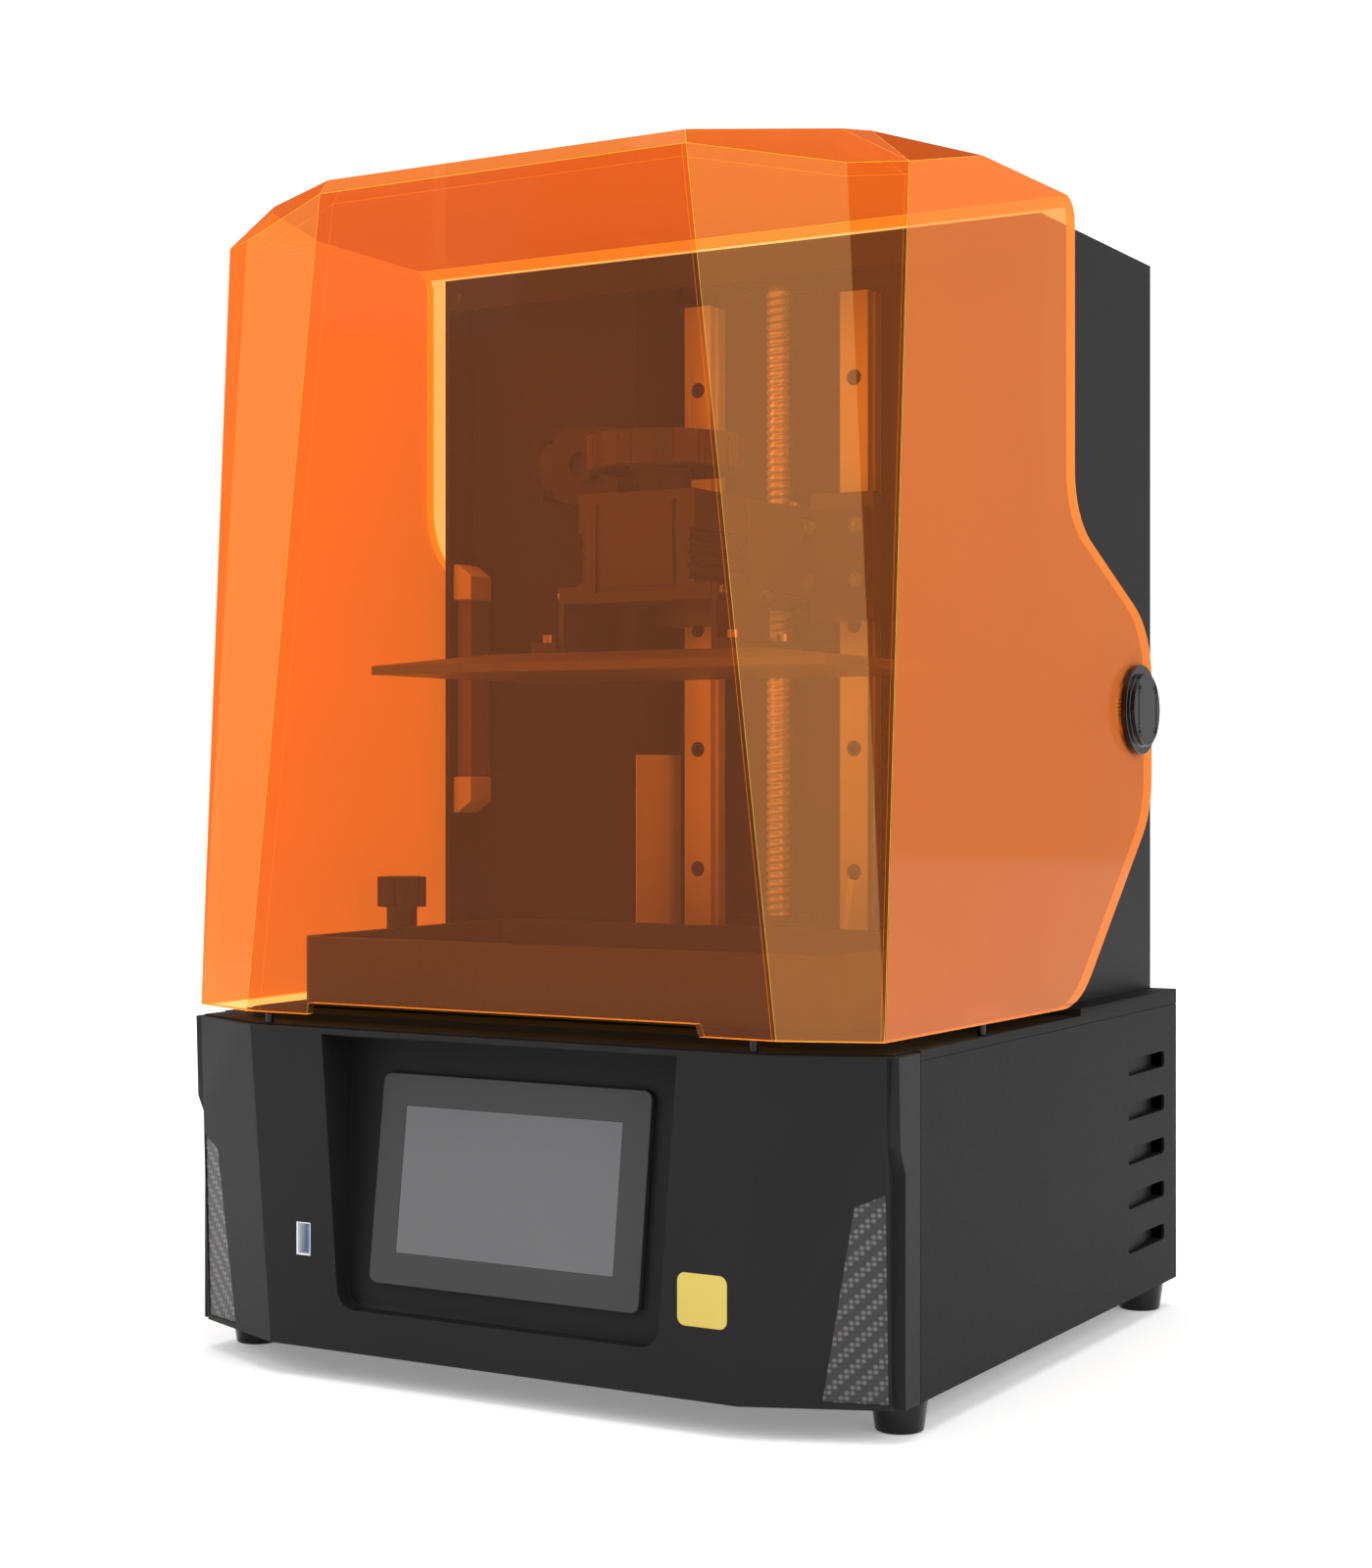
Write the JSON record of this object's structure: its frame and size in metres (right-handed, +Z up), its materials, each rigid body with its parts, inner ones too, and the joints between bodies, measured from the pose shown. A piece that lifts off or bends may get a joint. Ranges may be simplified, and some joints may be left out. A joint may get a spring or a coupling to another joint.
{
  "type": "resin printer",
  "caption": "Benchtop resin printer with a tilting clear amber cover, a driven Z column, a levelled platform, a vat and a touch display.",
  "frame": {"origin": "centre of the footprint on the bench, under the rubber feet", "axes": "+Z up, front with the touch display towards -Y, +X to the right seen from the front"},
  "size_m": [0.3692, 0.3368, 0.5151],
  "materials": {
    "panel_black": "satin",
    "sheet_black": "fine powder coat",
    "rubber_black": "matte",
    "carbon_weave": "woven pattern under clear gloss",
    "bezel_grey": "smooth",
    "display_grey": "satin, switched off",
    "bright_steel": "ground",
    "port_blue": "satin",
    "gold_plate": "satin",
    "mask_glass": "smooth",
    "raw_alloy": "mill",
    "lens_clear": "smooth",
    "board_white": "smooth",
    "board_green": "solder mask",
    "moulded_black": "fine grain",
    "motor_black": "satin",
    "polished_steel": "ground and polished",
    "dark_alloy": "black anodised",
    "bearing_steel": "dark",
    "plate_alloy": "fine blasted",
    "vat_alloy": "dark anodised",
    "film_clear": "smooth film",
    "grip_black": "satin",
    "amber_clear": "clear amber acrylic",
    "cap_gloss": "gloss",
    "diffuser": "frosted",
    "zinc_steel": "zinc plated",
    "dark_steel": "blackened"
  },
  "bodies": {
    "root": {"base_front_panel": "panel_black", "base_side_left": "sheet_black", "base_side_right": "sheet_black", "base_rear_panel": "sheet_black", "base_bottom_plate": "sheet_black", "top_deck": "sheet_black", "feet": "rubber_black", "carbon_inserts": "carbon_weave", "touch_bezel": "bezel_grey", "touch_display": "display_grey", "usb_shell": "bright_steel", "usb_tongue": "port_blue", "badge": "gold_plate", "mask_lcd": "mask_glass", "lamp_housing": "raw_alloy", "lens_array": "lens_clear", "led_board": "board_white", "lamp_heat_sink": "raw_alloy", "fan_frame": "moulded_black", "mainboard": "board_green", "power_supply": "zinc_steel", "power_inlet": "moulded_black", "cover_bumpers": "rubber_black", "column_housing": "sheet_black", "column_rear_cover": "sheet_black", "column_back_plate": "sheet_black", "z_channel": "sheet_black", "z_rail_left": "bright_steel", "z_rail_right": "bright_steel", "column_screws": "dark_steel", "channel_side_cover": "bright_steel", "light_bar": "diffuser", "screw_bearings": "motor_black", "z_motor": "motor_black", "heater_box": "moulded_black", "camera_bracket": "sheet_black", "hinge_pins": "motor_black"},
    "cover": {"cover_shell": "amber_clear", "hinge_caps": "cap_gloss", "hinge_cap_screws": "dark_steel"},
    "carriage": {"bearing_blocks": "bearing_steel", "carriage_bracket": "dark_alloy", "carriage_arm": "dark_alloy", "ball_nut": "bearing_steel", "carriage_screws": "zinc_steel"},
    "z_screw": {"ball_screw": "polished_steel", "shaft_coupler": "raw_alloy"},
    "platform": {"head_block": "dark_alloy", "levelling_brackets": "dark_alloy", "build_plate": "plate_alloy", "levelling_screws": "zinc_steel"},
    "clamp_knob": {"clamp_knob": "dark_alloy"},
    "vat": {"vat_body": "vat_alloy", "vat_film": "film_clear"},
    "vat_screw_left": {"vat_screw_left": "grip_black"},
    "vat_screw_right": {"vat_screw_right": "grip_black"},
    "power_switch": {"switch_rocker": "moulded_black"},
    "base_fan": {"fan_rotor": "moulded_black"},
    "heater_fan": {"heater_rotor": "moulded_black"},
    "camera": {"camera_body": "moulded_black"}
  },
  "joints": [
    {"name": "cover_hinge", "type": "hinge", "parent": "root", "child": "cover", "pos_m": [0, 0.1015, 0.2895], "axis": [-1, 0, 0], "range_deg": [0, 95]},
    {"name": "z_slide", "type": "slide", "parent": "root", "child": "carriage", "axis": [0, 0, 1], "range_m": [-0.1497, 0.07]},
    {"name": "z_screw_turn", "type": "hinge", "parent": "root", "child": "z_screw", "pos_m": [0, 0.083, 0.3], "axis": [0, 0, 1], "range_deg": [-6400, 13600]},
    {"name": "platform_slide", "type": "slide", "parent": "carriage", "child": "platform", "axis": [0, -1, 0], "range_m": [0, 0.06]},
    {"name": "clamp_knob_turn", "type": "hinge", "parent": "platform", "child": "clamp_knob", "pos_m": [0, -0.0276, 0.4], "axis": [0, 0, 1], "range_deg": [0, 540]},
    {"name": "vat_slide", "type": "slide", "parent": "root", "child": "vat", "axis": [0, -1, 0], "range_m": [0, 0.03]},
    {"name": "vat_screw_left_turn", "type": "hinge", "parent": "root", "child": "vat_screw_left", "pos_m": [-0.15, -0.0258, 0.19], "axis": [0, 0, 1], "range_deg": [0, 720]},
    {"name": "vat_screw_right_turn", "type": "hinge", "parent": "root", "child": "vat_screw_right", "pos_m": [0.15, -0.0258, 0.19], "axis": [0, 0, 1], "range_deg": [0, 720]},
    {"name": "power_switch_rock", "type": "hinge", "parent": "root", "child": "power_switch", "pos_m": [-0.12, 0.1624, 0.077], "axis": [1, 0, 0], "range_deg": [0, 16]},
    {"name": "base_fan_spin", "type": "hinge", "parent": "root", "child": "base_fan", "pos_m": [0.095, 0.1544, 0.084], "axis": [0, 1, 0], "continuous": true},
    {"name": "heater_fan_spin", "type": "hinge", "parent": "root", "child": "heater_fan", "pos_m": [0.13, 0.042, 0.2], "axis": [0, 1, 0], "continuous": true},
    {"name": "camera_tilt", "type": "hinge", "parent": "root", "child": "camera", "pos_m": [-0.066, 0.022, 0.4085], "axis": [1, 0, 0], "range_deg": [-20, 20]}
  ],
  "couplings": [
    {"joint": "z_screw_turn", "follows": "z_slide", "rad_per_m": -1570.8}
  ]
}
